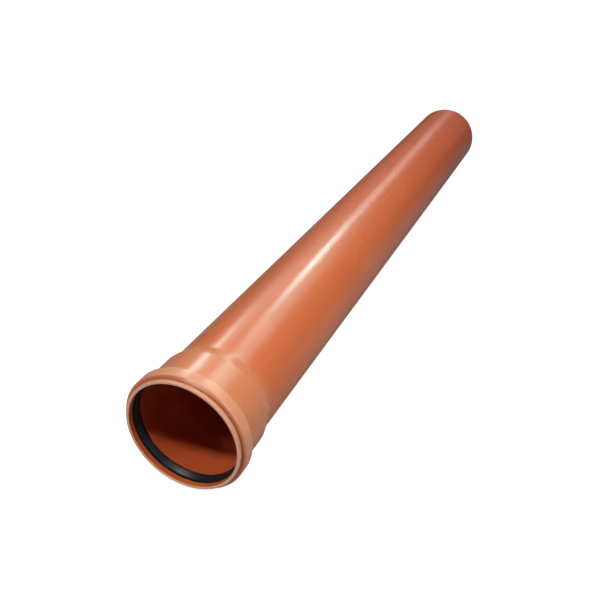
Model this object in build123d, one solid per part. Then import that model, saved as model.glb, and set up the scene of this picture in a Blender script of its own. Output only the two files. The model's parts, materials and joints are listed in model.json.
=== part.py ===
from build123d import *
import math
import os

# Sewer pipe of solid PVC with a push-fit socket formed on one end, lying on a level floor.
# It points along +Y, with the mouth of its socket towards -Y, and +Z is up.
# Sizes are in millimetres. The origin is on the floor, under the middle of the pipe.

# Pipe and plain end
pipe_length = 1000.0
pipe_outer_radius = 55.0
pipe_wall = 3.2
chamfer_length = 6.0
chamfer_angle = 15.0

# Socket, formed out of the end of the pipe, so its wall is a little thinner
socket_wall = 3.0
socket_play = 0.4
socket_depth = 54.0
taper_length = 13.5
taper_blend = 6.0

# Lip at the mouth
mouth_play = 0.9
mouth_land_length = 5.8
mouth_outer_length = 3.4
mouth_edge_round = 0.7
neck_length = 0.9
neck_depth = 0.6

# Groove for the sealing ring, which shows outside as a raised bead
groove_depth = 4.4
groove_width = 10.8
groove_front_run = 0.5
groove_back_run = 1.9
groove_foot_round = 0.9
bead_front_run = 1.2
bead_crown_length = 12.0
bead_back_run = 3.4
bead_round = 1.5
bead_foot_round = 1.2

# Rubber sealing ring with one lip, which a spigot bends outwards and back
ring_gap = 0.3
ring_body_length = 9.0
ring_body_thickness = 2.2
ring_front_run = 1.9
ring_front_height = 3.4
ring_front_round = 0.6
lip_squeeze = 1.4
lip_reach = 5.0
lip_land_length = 1.2
lip_tip_bevel = 0.3
lip_thickness = 1.3
lip_root_offset = 5.3
lip_root_height = 2.7

# Radii that follow from those sizes
bore_radius = pipe_outer_radius - pipe_wall
socket_bore_radius = pipe_outer_radius + socket_play
socket_outer_radius = socket_bore_radius + socket_wall
mouth_bore_radius = pipe_outer_radius + mouth_play
mouth_outer_radius = mouth_bore_radius + socket_wall
neck_radius = mouth_outer_radius - neck_depth
groove_radius = socket_bore_radius + groove_depth
bead_radius = groove_radius + socket_wall
spigot_tip_radius = pipe_outer_radius - chamfer_length * math.tan(math.radians(chamfer_angle))

# Distances from the mouth, along the pipe
groove_start = mouth_land_length + groove_front_run
groove_end = groove_start + groove_width
groove_foot = groove_end + groove_back_run
neck_end = mouth_outer_length + neck_length
bead_start = neck_end + bead_front_run
bead_end = bead_start + bead_crown_length
bead_foot = bead_end + bead_back_run
taper_end = socket_depth + taper_length
chamfer_start = pipe_length - chamfer_length

# The pipe lies on its bead and on the far edge of its plain end, so its axis leans a little
lean = math.atan2(bead_radius - pipe_outer_radius, chamfer_start - bead_end)
mouth_height = bead_end * math.sin(lean) + bead_radius * math.cos(lean)
mouth_y = -pipe_length / 2 * math.cos(lean)


def turned(corners):
    """Solid of revolution about the pipe's axis, from (distance, radius, corner round) rows."""
    points = [(distance, radius) for distance, radius, corner in corners]
    rounds = [corner for distance, radius, corner in corners]
    with BuildPart() as solid:
        with BuildSketch(Plane.YZ):
            with BuildLine():
                FilletPolyline(*points, radius=rounds, close=True)
            make_face()
        revolve(axis=Axis.Y)
    return solid.part


def laid_down(solid):
    """The solid, moved from the pipe's own axis to where the pipe lies on the floor."""
    return Pos(0, mouth_y, mouth_height) * Rot(X=-math.degrees(lean)) * solid


# Pipe wall: first along the outside, from the mouth to the plain end, then back along the bore
outside = [
    (0, mouth_outer_radius, mouth_edge_round),
    (mouth_outer_length, mouth_outer_radius, 0),
    (neck_end, neck_radius, 0),
    (bead_start, bead_radius, bead_round),
    (bead_end, bead_radius, bead_round),
    (bead_foot, socket_outer_radius, bead_foot_round),
    (socket_depth, socket_outer_radius, taper_blend),
    (taper_end, pipe_outer_radius, taper_blend),
    (chamfer_start, pipe_outer_radius, 0),
    (pipe_length, spigot_tip_radius, 0),
]
inside = [
    (pipe_length, bore_radius, 0),
    (taper_end, bore_radius, taper_blend),
    (socket_depth, socket_bore_radius, taper_blend),
    (groove_foot, socket_bore_radius, groove_foot_round),
    (groove_end, groove_radius, 0),
    (groove_start, groove_radius, 0),
    (mouth_land_length, mouth_bore_radius, 0),
    (0, mouth_bore_radius, mouth_edge_round),
]
pipe = laid_down(turned(outside + inside))

# Sealing ring: its body fills the groove, and its lip slopes inwards, away from the mouth
ring_outer_radius = groove_radius - ring_gap
ring_start = groove_start + ring_gap
ring_end = ring_start + ring_body_length
ring_body_radius = ring_outer_radius - ring_body_thickness
lip_front = ring_start + ring_front_run
lip_front_radius = ring_outer_radius - ring_front_height
lip_radius = pipe_outer_radius - lip_squeeze
lip_land_start = lip_front + lip_reach
lip_land_end = lip_land_start + lip_land_length
lip_tip = lip_land_end + lip_tip_bevel
lip_root = ring_start + lip_root_offset
lip_root_radius = ring_outer_radius - lip_root_height
ring_section = [
    (ring_start, ring_outer_radius, 0),
    (ring_end, ring_outer_radius, 0),
    (ring_end, ring_body_radius, 0),
    (lip_root, lip_root_radius, 0),
    (lip_tip, lip_radius + lip_thickness, 0),
    (lip_tip, lip_radius + lip_tip_bevel, 0),
    (lip_land_end, lip_radius, 0),
    (lip_land_start, lip_radius, 0),
    (lip_front, lip_front_radius, ring_front_round),
]
sealing_ring = laid_down(turned(ring_section))

os.makedirs("parts", exist_ok=True)
export_step(pipe, "parts/pipe.step")
export_step(sealing_ring, "parts/sealing_ring.step")
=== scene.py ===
import json
import math

import bpy
from mathutils import Matrix, Vector


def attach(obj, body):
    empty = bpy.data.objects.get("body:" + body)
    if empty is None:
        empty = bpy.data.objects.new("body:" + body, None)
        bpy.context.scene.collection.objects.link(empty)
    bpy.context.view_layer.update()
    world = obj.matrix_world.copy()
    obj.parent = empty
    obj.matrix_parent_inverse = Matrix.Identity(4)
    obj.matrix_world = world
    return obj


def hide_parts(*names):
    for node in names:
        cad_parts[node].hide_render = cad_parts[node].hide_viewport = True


# A PVC sewer pipe with a push-fit socket, lying on a pale floor.
# Lengths are in metres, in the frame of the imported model, and MM turns millimetres into metres.

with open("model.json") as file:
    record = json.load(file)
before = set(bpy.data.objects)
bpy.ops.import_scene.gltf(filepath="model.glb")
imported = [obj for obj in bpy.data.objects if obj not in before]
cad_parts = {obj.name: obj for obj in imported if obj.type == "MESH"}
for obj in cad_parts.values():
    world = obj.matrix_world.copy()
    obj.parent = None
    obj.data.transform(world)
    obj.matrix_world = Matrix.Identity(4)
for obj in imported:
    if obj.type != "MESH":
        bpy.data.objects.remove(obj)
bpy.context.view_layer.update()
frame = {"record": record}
MM = 0.001

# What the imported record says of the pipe
mounts = {mount["name"]: mount for mount in frame["record"]["mounts"]}
PIPE_RADIUS = mounts["plain_end"]["dims"]["r_mm"] * MM
BORE_RADIUS = mounts["pipe_bore"]["dims"]["r_mm"] * MM
SOCKET_RADIUS = mounts["socket"]["dims"]["r_mm"] * MM
LIP_RADIUS = mounts["seal_lip"]["dims"]["r_mm"] * MM
PIPE_AXIS = Vector(mounts["plain_end"]["axis"]).normalized()

# Other sizes of the pipe, as in the solids, and how far behind the mouth the socket's mount lies
PIPE_LENGTH = 1000 * MM
CHAMFER_LENGTH = 6 * MM
CHAMFER_ANGLE = math.radians(15)
SOCKET_WALL = 3 * MM
SOCKET_DEPTH = 54 * MM
TAPER_LENGTH = 13.5 * MM
TAPER_BLEND = 6 * MM
MOUTH_PLAY = 0.9 * MM
MOUTH_LAND = 5.8 * MM
MOUTH_OUTER_LENGTH = 3.4 * MM
MOUTH_EDGE_ROUND = 0.7 * MM
NECK_LENGTH = 0.9 * MM
NECK_DEPTH = 0.6 * MM
GROOVE_DEPTH = 4.4 * MM
GROOVE_WIDTH = 10.8 * MM
GROOVE_FRONT_RUN = 0.5 * MM
GROOVE_BACK_RUN = 1.9 * MM
BEAD_FRONT_RUN = 1.2 * MM
BEAD_CROWN = 12 * MM
BEAD_BACK_RUN = 3.4 * MM
BEAD_ROUND = 1.5 * MM
BEAD_FOOT_ROUND = 1.2 * MM
GROOVE_ROUND = 0.9 * MM
SAWN_EDGE_ROUND = 0.25 * MM
SOCKET_MOUNT_DISTANCE = 37 * MM

# Sizes of the sealing ring, as in the solids
RING_GAP = 0.3 * MM
RING_LENGTH = 9 * MM
RING_THICKNESS = 2.2 * MM
RING_FRONT_RUN = 1.9 * MM
RING_FRONT_HEIGHT = 3.4 * MM
LIP_REACH = 5 * MM
LIP_LAND = 1.2 * MM
LIP_TIP_BEVEL = 0.3 * MM
LIP_THICKNESS = 1.3 * MM
LIP_ROOT_OFFSET = 5.3 * MM
LIP_ROOT_HEIGHT = 2.7 * MM
RUBBER_ROUND = 0.6 * MM

# How finely the round forms are cut
SEGMENTS = 256
ARC_STEP = math.radians(11)
SHARP_ANGLE = math.radians(28)

# Materials of the pipe's faces, and how thick a slice at each end counts as sawn
SKIN, BORE, SAWN = 0, 1, 2
SAWN_THICKNESS = 0.4 * MM

# The camera, where the photograph was taken from
CAMERA_PLACE = (0.29685, -0.91932, 0.49217)
CAMERA_HEADING = math.radians(23.36)
CAMERA_PITCH = math.radians(29.79)
CAMERA_LENS = 43.57
SENSOR_WIDTH = 36.0

# Colours, as linear light, and the level of each gloss
PVC_COLOUR = (0.58, 0.136, 0.042, 1)
# The pale tone serves the faint die lines, and is also the painted sheen of the socket
PVC_PALE_AND_SHEEN = (0.6, 0.22, 0.104, 1)
PVC_DEEP = (0.49, 0.074, 0.017, 1)
# The bead's and the lip's colours are paler than the pipe: painted sheen
BEAD_SHEEN_COLOUR = (0.65, 0.26, 0.136, 1)
LIP_SHEEN_COLOUR = (0.66, 0.275, 0.155, 1)
# The neck's colour is painted shade in the hollow before the bead
NECK_SHADE_COLOUR = (0.38, 0.095, 0.03, 1)
BORE_COLOUR = (0.58, 0.122, 0.024, 1)
BORE_DEEP = (0.5, 0.084, 0.022, 1)
SAWN_COLOUR = (0.72, 0.42, 0.3, 1)
SAWN_DARK = (0.62, 0.3, 0.19, 1)
SCRATCH_COLOUR = (0.66, 0.3, 0.18, 1)
SCUFF_COLOUR = (0.2, 0.06, 0.036, 1)
RUBBER_COLOUR = (0.007, 0.008, 0.014, 1)
RUBBER_DUSTY = (0.028, 0.033, 0.052, 1)
PVC_GLOSS = 0.4
RUBBER_GLOSS = 0.3

# Textures: how many lumps a metre holds across the pipe, along it and upwards, and how finely they break up
CLOUDS = {"stretch": (16, 7, 16), "detail": 4.0, "roughness": 0.55}
DIE_LINES = {"stretch": (260, 2, 260), "detail": 2.0, "roughness": 0.5}
PEEL = {"stretch": (150, 90, 150), "detail": 2.0, "roughness": 0.5}
SCRATCHES = {"stretch": (60, 9, 60), "detail": 2.0, "roughness": 0.5, "distortion": 0.4}
SCRATCHED_PATCHES = {"stretch": (26, 10, 26), "detail": 2.0, "roughness": 0.5}
SCUFFS = {"stretch": (48, 26, 48), "detail": 4.0, "roughness": 0.62, "distortion": 0.5}
BORE_CLOUDS = {"stretch": (20, 9, 20), "detail": 4.0, "roughness": 0.55}
BORE_LINES = {"stretch": (300, 3, 300), "detail": 4.0, "roughness": 0.6}
SAWN_GRAIN = {"stretch": (900, 900, 900), "detail": 4.0, "roughness": 0.6}
RUBBER_CLOUDS = {"stretch": (60, 60, 60), "detail": 4.0, "roughness": 0.6}
RUBBER_GRAIN = {"stretch": (1600, 1600, 1600), "detail": 3.0, "roughness": 0.6}
SAW_ARCS = {"Scale": 260.0, "Distortion": 2.5, "Detail": 3.0, "Detail Scale": 40.0}

# The part of a noise's range over which its texture comes in, and a scratch's width in that range
CLOUD_RANGE = (0.3, 0.7)
DIE_LINE_RANGE = (0.35, 0.75)
DULL_LINE_RANGE = (0.4, 0.8)
PATCH_RANGE = (0.56, 0.7)
SCUFF_RANGE = (0.68, 0.8)
SAWN_GRAIN_RANGE = (0.35, 0.7)
DUST_RANGE = (0.45, 0.8)
SCRATCH_WIDTH = 0.0035

# How deep the textures go
PEEL_DEPTH = 0.008 * MM
DIE_LINE_DEPTH = 0.002 * MM
BORE_LINE_DEPTH = 0.01 * MM
SAW_ARC_DEPTH = 0.02 * MM
SAWN_GRAIN_DEPTH = 0.03 * MM
RUBBER_GRAIN_DEPTH = 0.01 * MM

# How much of another colour comes in at most
CLOUD_SHARE = 0.35
DIE_LINE_SHARE = 0.07
SCRATCH_SHARE = 0.08
SCUFF_SHARE = 0.24
# The socket's share is how much painted sheen it gets
SOCKET_SHEEN_SHARE = 0.6
# The neck's share is how dark its painted shade gets
NECK_SHADE_SHARE = 0.9
SAWN_GRAIN_SHARE = 0.6
DUST_SHARE = 0.5

# Least and greatest roughness, and what scuffs and lines from the die add to it
SKIN_ROUGHNESS = (0.25, 0.31)
BORE_ROUGHNESS = (0.34, 0.44)
SAWN_ROUGHNESS = (0.5, 0.66)
RUBBER_ROUGHNESS = (0.36, 0.46)
SCUFF_ROUGHNESS = 0.08
DIE_LINE_ROUGHNESS = 0.02

# Painted shade: the skin's colour deepens from one distance behind the mouth to another, darker towards the
# plain end
FAR_SHADE_FROM, FAR_SHADE_WHOLE = 100 * MM, 800 * MM
FAR_SHADE_SHARE = 0.8

# Floor: half its side, its finish, and how bright it looks to the camera and in gloss. To the camera it
# brightens away from the middle, and a distance along the pipe counts for half of one across it.
FLOOR_HALF = 30.0
FLOOR_COLOUR = (0.25, 0.25, 0.25, 1)
FLOOR_ROUGHNESS = 0.9
FLOOR_SEEN_NEAR, FLOOR_SEEN_FAR = 0.93, 1.0
FLOOR_NEAR_REACH, FLOOR_FAR_REACH = 0.1, 0.9
FLOOR_REACH_SHARES = (1.0, 0.5, 0.0)
FLOOR_MIRRORED = 0.035

# World: the level of its light, and how bright it looks in gloss
WORLD_STRENGTH = 0.06
MIRRORED_SKY = 0.19

# Where the lamps point, plain light, and the tint of most lamps that only draw highlights
NEAR_HALF = (0, -0.35, 0.08)
FAR_HALF = (0, 0.4, 0.05)
NEAR_MIDDLE = (0, -0.1, 0.1)
STREAK_SPOT = (0, -0.25, 0.12)
STREAK_TAIL_SPOT = (0, 0.2, 0.1)
WHITE = (1, 1, 1)
COOL = (0.6, 0.97, 0.93)

collection = bpy.context.scene.collection


def corner_arc(before, corner, after, size):
    """Points of the round that a corner of an outline gets, in order along the outline."""
    corner = Vector(corner)
    back = (Vector(before) - corner).normalized()
    ahead = (Vector(after) - corner).normalized()
    opening = back.angle(ahead)
    turn = math.pi - opening
    reach = size / math.tan(opening / 2)
    centre = corner + (back + ahead).normalized() * (size / math.sin(opening / 2))
    start = corner + back * reach - centre
    side = 1 if start.x * ahead.y - start.y * ahead.x > 0 else -1
    steps = max(2, math.ceil(turn / ARC_STEP))
    points = []
    for step in range(steps + 1):
        angle = side * turn * step / steps
        cos, sin = math.cos(angle), math.sin(angle)
        points.append((centre.x + start.x * cos - start.y * sin, centre.y + start.x * sin + start.y * cos))
    return points


def outline(rows):
    """Closed outline of (distance, radius) points from (distance, radius, corner round) rows."""
    points = []
    for index, (distance, radius, size) in enumerate(rows):
        if size:
            before, after = rows[index - 1][:2], rows[(index + 1) % len(rows)][:2]
            points += corner_arc(before, (distance, radius), after, size)
        else:
            points.append((distance, radius))
    return points


def turned(name, rows):
    """Mesh object turned about its own Y axis from the rows of an outline.

    Its attribute own_place keeps each point's place before the piece is laid down.
    """
    points = outline(rows)
    count = len(points)
    vertices = []
    for step in range(SEGMENTS):
        angle = 2 * math.pi * step / SEGMENTS
        sin, cos = math.sin(angle), math.cos(angle)
        vertices += [(radius * sin, distance, radius * cos) for distance, radius in points]
    faces = []
    for step in range(SEGMENTS):
        here, there = step * count, (step + 1) % SEGMENTS * count
        for index in range(count):
            ahead = (index + 1) % count
            faces.append((here + index, here + ahead, there + ahead, there + index))
    mesh = bpy.data.meshes.new(name)
    mesh.from_pydata(vertices, [], faces)
    mesh.update()
    mesh.shade_smooth()
    mesh.set_sharp_from_angle(angle=SHARP_ANGLE)
    place = mesh.attributes.new("own_place", "FLOAT_VECTOR", "POINT")
    place.data.foreach_set("vector", [value for vertex in vertices for value in vertex])
    piece = bpy.data.objects.new(name, mesh)
    collection.objects.link(piece)
    return piece


# Places along the pipe and radii that follow from the sizes
neck_end = MOUTH_OUTER_LENGTH + NECK_LENGTH
bead_start = neck_end + BEAD_FRONT_RUN
bead_end = bead_start + BEAD_CROWN
bead_foot = bead_end + BEAD_BACK_RUN
groove_start = MOUTH_LAND + GROOVE_FRONT_RUN
groove_end = groove_start + GROOVE_WIDTH
groove_foot = groove_end + GROOVE_BACK_RUN
taper_end = SOCKET_DEPTH + TAPER_LENGTH
chamfer_start = PIPE_LENGTH - CHAMFER_LENGTH
tip_radius = PIPE_RADIUS - CHAMFER_LENGTH * math.tan(CHAMFER_ANGLE)
socket_outer = SOCKET_RADIUS + SOCKET_WALL
mouth_bore = PIPE_RADIUS + MOUTH_PLAY
mouth_outer = mouth_bore + SOCKET_WALL
groove_radius = SOCKET_RADIUS + GROOVE_DEPTH
bead_radius = groove_radius + SOCKET_WALL

# The pipe's wall, out along the outside and back along the bore
wall_rows = [
    (0, mouth_outer, MOUTH_EDGE_ROUND),
    (MOUTH_OUTER_LENGTH, mouth_outer, 0),
    (neck_end, mouth_outer - NECK_DEPTH, 0),
    (bead_start, bead_radius, BEAD_ROUND),
    (bead_end, bead_radius, BEAD_ROUND),
    (bead_foot, socket_outer, BEAD_FOOT_ROUND),
    (SOCKET_DEPTH, socket_outer, TAPER_BLEND),
    (taper_end, PIPE_RADIUS, TAPER_BLEND),
    (chamfer_start, PIPE_RADIUS, SAWN_EDGE_ROUND),
    (PIPE_LENGTH, tip_radius, SAWN_EDGE_ROUND),
    (PIPE_LENGTH, BORE_RADIUS, SAWN_EDGE_ROUND),
    (taper_end, BORE_RADIUS, TAPER_BLEND),
    (SOCKET_DEPTH, SOCKET_RADIUS, TAPER_BLEND),
    (groove_foot, SOCKET_RADIUS, GROOVE_ROUND),
    (groove_end, groove_radius, GROOVE_ROUND),
    (groove_start, groove_radius, GROOVE_ROUND),
    (MOUTH_LAND, mouth_bore, 0),
    (0, mouth_bore, MOUTH_EDGE_ROUND),
]

# The sealing ring's section: back along the groove, then round the lip to the front
ring_outer = groove_radius - RING_GAP
ring_start = groove_start + RING_GAP
ring_end = ring_start + RING_LENGTH
lip_front = ring_start + RING_FRONT_RUN
lip_land_start = lip_front + LIP_REACH
lip_tip = lip_land_start + LIP_LAND + LIP_TIP_BEVEL
ring_rows = [
    (ring_start, ring_outer, RUBBER_ROUND),
    (ring_end, ring_outer, RUBBER_ROUND),
    (ring_end, ring_outer - RING_THICKNESS, RUBBER_ROUND),
    (ring_start + LIP_ROOT_OFFSET, ring_outer - LIP_ROOT_HEIGHT, RUBBER_ROUND),
    (lip_tip, LIP_RADIUS + LIP_THICKNESS, LIP_TIP_BEVEL),
    (lip_tip, LIP_RADIUS, LIP_TIP_BEVEL),
    (lip_land_start, LIP_RADIUS, RUBBER_ROUND),
    (lip_front, ring_outer - RING_FRONT_HEIGHT, RUBBER_ROUND),
]

# Both pieces are made about their own axis, and then laid where the solids lie
mouth_centre = Vector(mounts["socket"]["pos_m"]) - PIPE_AXIS * SOCKET_MOUNT_DISTANCE
lean = math.asin(-PIPE_AXIS.z)
lie = Matrix.Translation(mouth_centre) @ Matrix.Rotation(-lean, 4, "X")

pipe = turned("pipe_wall", wall_rows)
ring = turned("rubber_ring", ring_rows)
for piece, node, slot in ((pipe, "pipe", "pvc"), (ring, "sealing_ring", "seal_rubber")):
    piece.data.transform(lie)
    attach(piece, "root")
    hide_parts(node)


def add(tree, kind, inputs=None, **settings):
    """New node of a tree, with its settings, and its inputs linked or set. Returns its first output."""
    node = tree.nodes.new(kind)
    for name, value in settings.items():
        setattr(node, name, value)
    for name, value in (inputs or {}).items():
        socket = node.inputs[name]
        if isinstance(value, bpy.types.NodeSocket):
            tree.links.new(value, socket)
        else:
            socket.default_value = value
    return node.outputs[0]


def calculate(tree, operation, *values):
    """Output of a math node."""
    return add(tree, "ShaderNodeMath", dict(enumerate(values)), operation=operation)


def ramp(tree, value, start, end, low=0.0, high=1.0):
    """A value that goes smoothly from low to high as another goes from start to end."""
    inputs = {"Value": value, "From Min": start, "From Max": end, "To Min": low, "To Max": high}
    return add(tree, "ShaderNodeMapRange", inputs, interpolation_type="SMOOTHSTEP")


def mixed(tree, share, one, other):
    """Colour between two colours."""
    node = tree.nodes.new("ShaderNodeMix")
    node.data_type = "RGBA"
    for name, value in (("Factor_Float", share), ("A_Color", one), ("B_Color", other)):
        socket = next(socket for socket in node.inputs if socket.identifier == name)
        if isinstance(value, bpy.types.NodeSocket):
            tree.links.new(value, socket)
        else:
            socket.default_value = value
    return next(socket for socket in node.outputs if socket.identifier == "Result_Color")


def noise(tree, place, stretch, detail, roughness, distortion=0.0):
    """Noise over the piece, with the number of its lumps in a metre along each axis."""
    scaled = add(tree, "ShaderNodeVectorMath", {0: place, 1: stretch}, operation="MULTIPLY")
    inputs = {
        "Vector": scaled,
        "Scale": 1.0,
        "Detail": detail,
        "Roughness": roughness,
        "Distortion": distortion,
    }
    return add(tree, "ShaderNodeTexNoise", inputs)


def thin_lines(tree, value, width):
    """Thin lines, 1 in the middle and 0 outside, where a noise passes through its mean."""
    away = calculate(tree, "ABSOLUTE", calculate(tree, "SUBTRACT", value, 0.5))
    return ramp(tree, away, 0.0, width, 1.0, 0.0)


def bumped(tree, height, distance, normal=None):
    """Normal bent by a height from 0 to 1 that stands for a distance in metres."""
    inputs = {"Height": height, "Distance": distance, "Strength": 1.0}
    if normal is not None:
        inputs["Normal"] = normal
    return add(tree, "ShaderNodeBump", inputs)


def new_material(name):
    """Material with its tree, its main shader and the place on the piece as a vector."""
    material = bpy.data.materials.new(name)
    material.use_nodes = True
    tree = material.node_tree
    shader = tree.nodes["Principled BSDF"]
    attribute = tree.nodes.new("ShaderNodeAttribute")
    attribute.attribute_name = "own_place"
    return material, tree, shader, attribute.outputs["Vector"]


def pvc_skin():
    """Glossy outside of the pipe: faint lines from the die, clouds, light scratches and a few scuffs, with
    painted shade that deepens it towards the plain end, and the socket's painted sheen and shade.
    """
    material, tree, shader, place = new_material("pvc_skin")
    parts = tree.nodes.new("ShaderNodeSeparateXYZ")
    tree.links.new(place, parts.inputs[0])
    along = parts.outputs["Y"]
    clouds = noise(tree, place, **CLOUDS)
    lines = noise(tree, place, **DIE_LINES)
    peel = noise(tree, place, **PEEL)
    patches = ramp(tree, noise(tree, place, **SCRATCHED_PATCHES), *PATCH_RANGE)
    scratches = thin_lines(tree, noise(tree, place, **SCRATCHES), SCRATCH_WIDTH)
    scratches = calculate(tree, "MULTIPLY", scratches, patches)
    scuffs = ramp(tree, noise(tree, place, **SCUFFS), *SCUFF_RANGE)
    colour = mixed(tree, ramp(tree, clouds, *CLOUD_RANGE, 0.0, CLOUD_SHARE), PVC_COLOUR, PVC_DEEP)
    # Painted shade: the skin deepens towards the plain end
    colour = mixed(tree, ramp(tree, along, FAR_SHADE_FROM, FAR_SHADE_WHOLE, 0.0, FAR_SHADE_SHARE), colour, PVC_DEEP)
    colour = mixed(tree, ramp(tree, lines, *DIE_LINE_RANGE, 0.0, DIE_LINE_SHARE), colour, PVC_PALE_AND_SHEEN)
    colour = socket_colour(tree, along, colour)
    colour = mixed(tree, calculate(tree, "MULTIPLY", scratches, SCRATCH_SHARE), colour, SCRATCH_COLOUR)
    colour = mixed(tree, calculate(tree, "MULTIPLY", scuffs, SCUFF_SHARE), colour, SCUFF_COLOUR)
    tree.links.new(colour, shader.inputs["Base Color"])
    shader.inputs["Specular IOR Level"].default_value = PVC_GLOSS
    rough = ramp(tree, clouds, *CLOUD_RANGE, *SKIN_ROUGHNESS)
    rough = calculate(tree, "ADD", rough, calculate(tree, "MULTIPLY", scuffs, SCUFF_ROUGHNESS))
    rough = calculate(tree, "ADD", rough, ramp(tree, lines, *DULL_LINE_RANGE, 0.0, DIE_LINE_ROUGHNESS))
    tree.links.new(rough, shader.inputs["Roughness"])
    normal = bumped(tree, peel, PEEL_DEPTH)
    normal = bumped(tree, lines, DIE_LINE_DEPTH, normal)
    tree.links.new(normal, shader.inputs["Normal"])
    return material


def socket_colour(tree, along, colour):
    """The skin's colour with painted sheen that makes the socket, the bead and the lip paler than the pipe,
    and painted shade that makes the neck dark.
    """
    # Painted sheen: the socket, and then the bead and the lip, turn paler towards the mouth
    socket_sheen = ramp(tree, along, taper_end + TAPER_LENGTH, SOCKET_DEPTH)
    colour = mixed(tree, calculate(tree, "MULTIPLY", socket_sheen, SOCKET_SHEEN_SHARE), colour, PVC_PALE_AND_SHEEN)
    colour = mixed(tree, ramp(tree, along, bead_foot, bead_end), colour, BEAD_SHEEN_COLOUR)
    colour = mixed(tree, ramp(tree, along, bead_start + BEAD_FRONT_RUN, bead_start), colour, LIP_SHEEN_COLOUR)
    # Painted shade in the neck's hollow, running onto the bead's front slope
    into_neck_shade = ramp(tree, along, MOUTH_OUTER_LENGTH, neck_end)
    out_of_neck_shade = ramp(tree, along, bead_start + BEAD_ROUND / 2, neck_end, 0.0, NECK_SHADE_SHARE)
    return mixed(tree, calculate(tree, "MULTIPLY", into_neck_shade, out_of_neck_shade), colour, NECK_SHADE_COLOUR)


def pvc_bore():
    """Inside of the pipe: the same plastic, a little duller, with deeper lines."""
    material, tree, shader, place = new_material("pvc_bore")
    clouds = noise(tree, place, **BORE_CLOUDS)
    lines = noise(tree, place, **BORE_LINES)
    colour = mixed(tree, ramp(tree, clouds, *CLOUD_RANGE), BORE_COLOUR, BORE_DEEP)
    tree.links.new(colour, shader.inputs["Base Color"])
    shader.inputs["Specular IOR Level"].default_value = PVC_GLOSS
    tree.links.new(ramp(tree, clouds, *CLOUD_RANGE, *BORE_ROUGHNESS), shader.inputs["Roughness"])
    tree.links.new(bumped(tree, lines, BORE_LINE_DEPTH), shader.inputs["Normal"])
    return material


def pvc_sawn():
    """Cut end: paler and rough, with the arcs that the saw left."""
    material, tree, shader, place = new_material("pvc_sawn")
    arcs = add(tree, "ShaderNodeTexWave", {"Vector": place, **SAW_ARCS}, bands_direction="DIAGONAL")
    grain = noise(tree, place, **SAWN_GRAIN)
    patches = ramp(tree, grain, *SAWN_GRAIN_RANGE, 0.0, SAWN_GRAIN_SHARE)
    colour = mixed(tree, patches, SAWN_COLOUR, SAWN_DARK)
    tree.links.new(colour, shader.inputs["Base Color"])
    tree.links.new(ramp(tree, grain, *CLOUD_RANGE, *SAWN_ROUGHNESS), shader.inputs["Roughness"])
    normal = bumped(tree, arcs, SAW_ARC_DEPTH)
    tree.links.new(bumped(tree, grain, SAWN_GRAIN_DEPTH, normal), shader.inputs["Normal"])
    return material


def seal_rubber():
    """Black rubber with a satin, finely grained skin and a little dust."""
    material, tree, shader, place = new_material("seal_rubber")
    clouds = noise(tree, place, **RUBBER_CLOUDS)
    grain = noise(tree, place, **RUBBER_GRAIN)
    colour = mixed(tree, ramp(tree, clouds, *DUST_RANGE, 0.0, DUST_SHARE), RUBBER_COLOUR, RUBBER_DUSTY)
    tree.links.new(colour, shader.inputs["Base Color"])
    shader.inputs["Specular IOR Level"].default_value = RUBBER_GLOSS
    tree.links.new(ramp(tree, clouds, *CLOUD_RANGE, *RUBBER_ROUGHNESS), shader.inputs["Roughness"])
    tree.links.new(bumped(tree, grain, RUBBER_GRAIN_DEPTH), shader.inputs["Normal"])
    return material


def middle_radius(along):
    """Radius of the middle of the wall at a distance from the mouth."""
    if along > SOCKET_DEPTH:
        share = min(1.0, (along - SOCKET_DEPTH) / TAPER_LENGTH)
        return (socket_outer + SOCKET_RADIUS) / 2 * (1 - share) + (PIPE_RADIUS + BORE_RADIUS) / 2 * share
    if along > groove_foot:
        return (socket_outer + SOCKET_RADIUS) / 2
    if along > groove_start:
        return groove_radius + SOCKET_WALL / 2
    return (mouth_outer + mouth_bore) / 2


def finish_pipe(piece):
    """Gives the outside, the bore and the sawn ends of the pipe's wall their own materials."""
    for material in (pvc_skin(), pvc_bore(), pvc_sawn()):
        piece.data.materials.append(material)
    own = piece.data.attributes["own_place"].data
    for face in piece.data.polygons:
        corners = [own[index].vector for index in face.vertices]
        along = sum(corner.y for corner in corners) / len(corners)
        radius = sum(math.hypot(corner.x, corner.z) for corner in corners) / len(corners)
        flat = max(corner.y for corner in corners) - min(corner.y for corner in corners) < SAWN_THICKNESS
        at_end = along < SAWN_THICKNESS or along > PIPE_LENGTH - SAWN_THICKNESS
        if flat and at_end:
            face.material_index = SAWN
        elif radius < middle_radius(along):
            face.material_index = BORE
        else:
            face.material_index = SKIN


finish_pipe(pipe)
ring.data.materials.append(seal_rubber())

# Camera
camera_data = bpy.data.cameras.new("camera")
camera_data.lens = CAMERA_LENS
camera_data.sensor_width = SENSOR_WIDTH
camera = bpy.data.objects.new("camera", camera_data)
camera.location = CAMERA_PLACE
camera.rotation_euler = (math.pi / 2 - CAMERA_PITCH, 0, CAMERA_HEADING)
collection.objects.link(camera)
bpy.context.scene.camera = camera

# Floor
floor_mesh = bpy.data.meshes.new("floor")
floor_corners = [(-1, -1), (1, -1), (1, 1), (-1, 1)]
floor_mesh.from_pydata([(x * FLOOR_HALF, y * FLOOR_HALF, 0) for x, y in floor_corners], [], [(0, 1, 2, 3)])
floor = bpy.data.objects.new("floor", floor_mesh)
collection.objects.link(floor)


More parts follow.
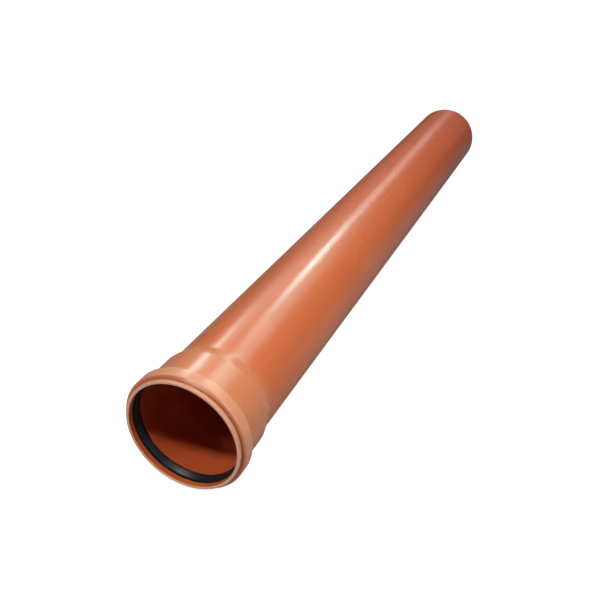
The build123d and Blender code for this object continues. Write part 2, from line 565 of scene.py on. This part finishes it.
def floor_paint():
    """Matt floor that looks white to the camera and dim in gloss, and keeps a faint shadow by the pipe."""
    material = bpy.data.materials.new("floor_paint")
    material.use_nodes = True
    tree = material.node_tree
    shader = tree.nodes["Principled BSDF"]
    shader.inputs["Base Color"].default_value = FLOOR_COLOUR
    shader.inputs["Roughness"].default_value = FLOOR_ROUGHNESS
    shader.inputs["Specular IOR Level"].default_value = 0.0
    shader.inputs["Emission Color"].default_value = (*WHITE, 1)
    rays = tree.nodes.new("ShaderNodeLightPath").outputs
    mirrored = calculate(tree, "MAXIMUM", rays["Is Glossy Ray"], rays["Is Transmission Ray"])
    place = tree.nodes.new("ShaderNodeTexCoord").outputs["Object"]
    across = add(tree, "ShaderNodeVectorMath", {0: place, 1: FLOOR_REACH_SHARES}, operation="MULTIPLY")
    length = tree.nodes.new("ShaderNodeVectorMath")
    length.operation = "LENGTH"
    tree.links.new(across, length.inputs[0])
    reach = length.outputs["Value"]
    seen = ramp(tree, reach, FLOOR_NEAR_REACH, FLOOR_FAR_REACH, FLOOR_SEEN_NEAR, FLOOR_SEEN_FAR)
    seen = calculate(tree, "MULTIPLY", rays["Is Camera Ray"], seen)
    mirrored = calculate(tree, "MULTIPLY", mirrored, FLOOR_MIRRORED)
    tree.links.new(calculate(tree, "MAXIMUM", seen, mirrored), shader.inputs["Emission Strength"])
    return material


floor_mesh.materials.append(floor_paint())


def lamp(name, place, target, size, power, spread=180, colour=WHITE):
    """Oblong soft lamp at a place, turned to a target.

    Its size is (across, upright) in metres, its power in watts and its spread in degrees.
    """
    data = bpy.data.lights.new(name, "AREA")
    data.shape = "RECTANGLE"
    data.size, data.size_y = size
    data.energy = power
    data.color = colour
    data.spread = math.radians(spread)
    holder = bpy.data.objects.new(name, data)
    holder.location = place
    holder.rotation_euler = (Vector(target) - Vector(place)).to_track_quat("-Z", "Y").to_euler()
    collection.objects.link(holder)


# Lamps that light the pipe: a broad one at the right, two for the mouth and one over the far half
MOUTH = tuple(mouth_centre)
lamp("right", (1.0, -0.45, 0.75), NEAR_HALF, size=(0.4, 0.4), power=8.5)
lamp("over_mouth", (-0.126, -0.97, 1.268), MOUTH, size=(0.15, 0.15), power=1.05, spread=60)
lamp("front", (-0.6, -2.6, 0.05), MOUTH, size=(0.3, 0.06), power=1.3, spread=60)
lamp("over_far_half", (0, 0.2, 1.8), FAR_HALF, size=(0.6, 0.6), power=2.3, spread=60)

# Weak lamps behind the pipe that draw the highlights of the socket and along the top
lamp("socket_gleam", (-0.76, 0.85, 1.1), MOUTH, size=(0.15, 0.15), power=0.21, spread=50, colour=COOL)
lamp("right_gleam", (0.2, 0.8, 1.3), MOUTH, size=(0.25, 0.25), power=0.2, spread=45, colour=COOL)
lamp("right_halo", (0.55, 0.72, 1.2), MOUTH, size=(0.55, 0.4), power=0.25, spread=45, colour=COOL)
lamp("middle_halo", (0.3, 1.1, 1.0), NEAR_MIDDLE, size=(0.5, 0.3), power=0.12, spread=50, colour=COOL)
lamp("streak", (-0.09, 1.02, 0.87), STREAK_SPOT, size=(0.13, 0.13), power=0.33, spread=60, colour=COOL)
lamp("streak_tail", (-0.2, 2.0, 0.87), STREAK_TAIL_SPOT, size=(0.28, 0.5), power=0.09, spread=60)
lamp("back_left", (-0.8, 1.5, 1.4), NEAR_HALF, size=(0.8, 0.8), power=0.55, spread=60)

# World: a faint even light that looks white to the camera and dim in gloss
world = bpy.data.worlds.new("world")
world.use_nodes = True
sky = world.node_tree
sky_rays = sky.nodes.new("ShaderNodeLightPath").outputs
sky_mirrored = calculate(sky, "MAXIMUM", sky_rays["Is Glossy Ray"], sky_rays["Is Transmission Ray"])
sky_mirrored = calculate(sky, "MULTIPLY", sky_mirrored, MIRRORED_SKY)
sky_strength = calculate(sky, "MAXIMUM", sky_mirrored, WORLD_STRENGTH)
sky_strength = calculate(sky, "MAXIMUM", sky_rays["Is Camera Ray"], sky_strength)
background = sky.nodes["Background"]
background.inputs["Color"].default_value = (*WHITE, 1)
sky.links.new(sky_strength, background.inputs["Strength"])
bpy.context.scene.world = world

bpy.context.scene.view_settings.view_transform = "Standard"
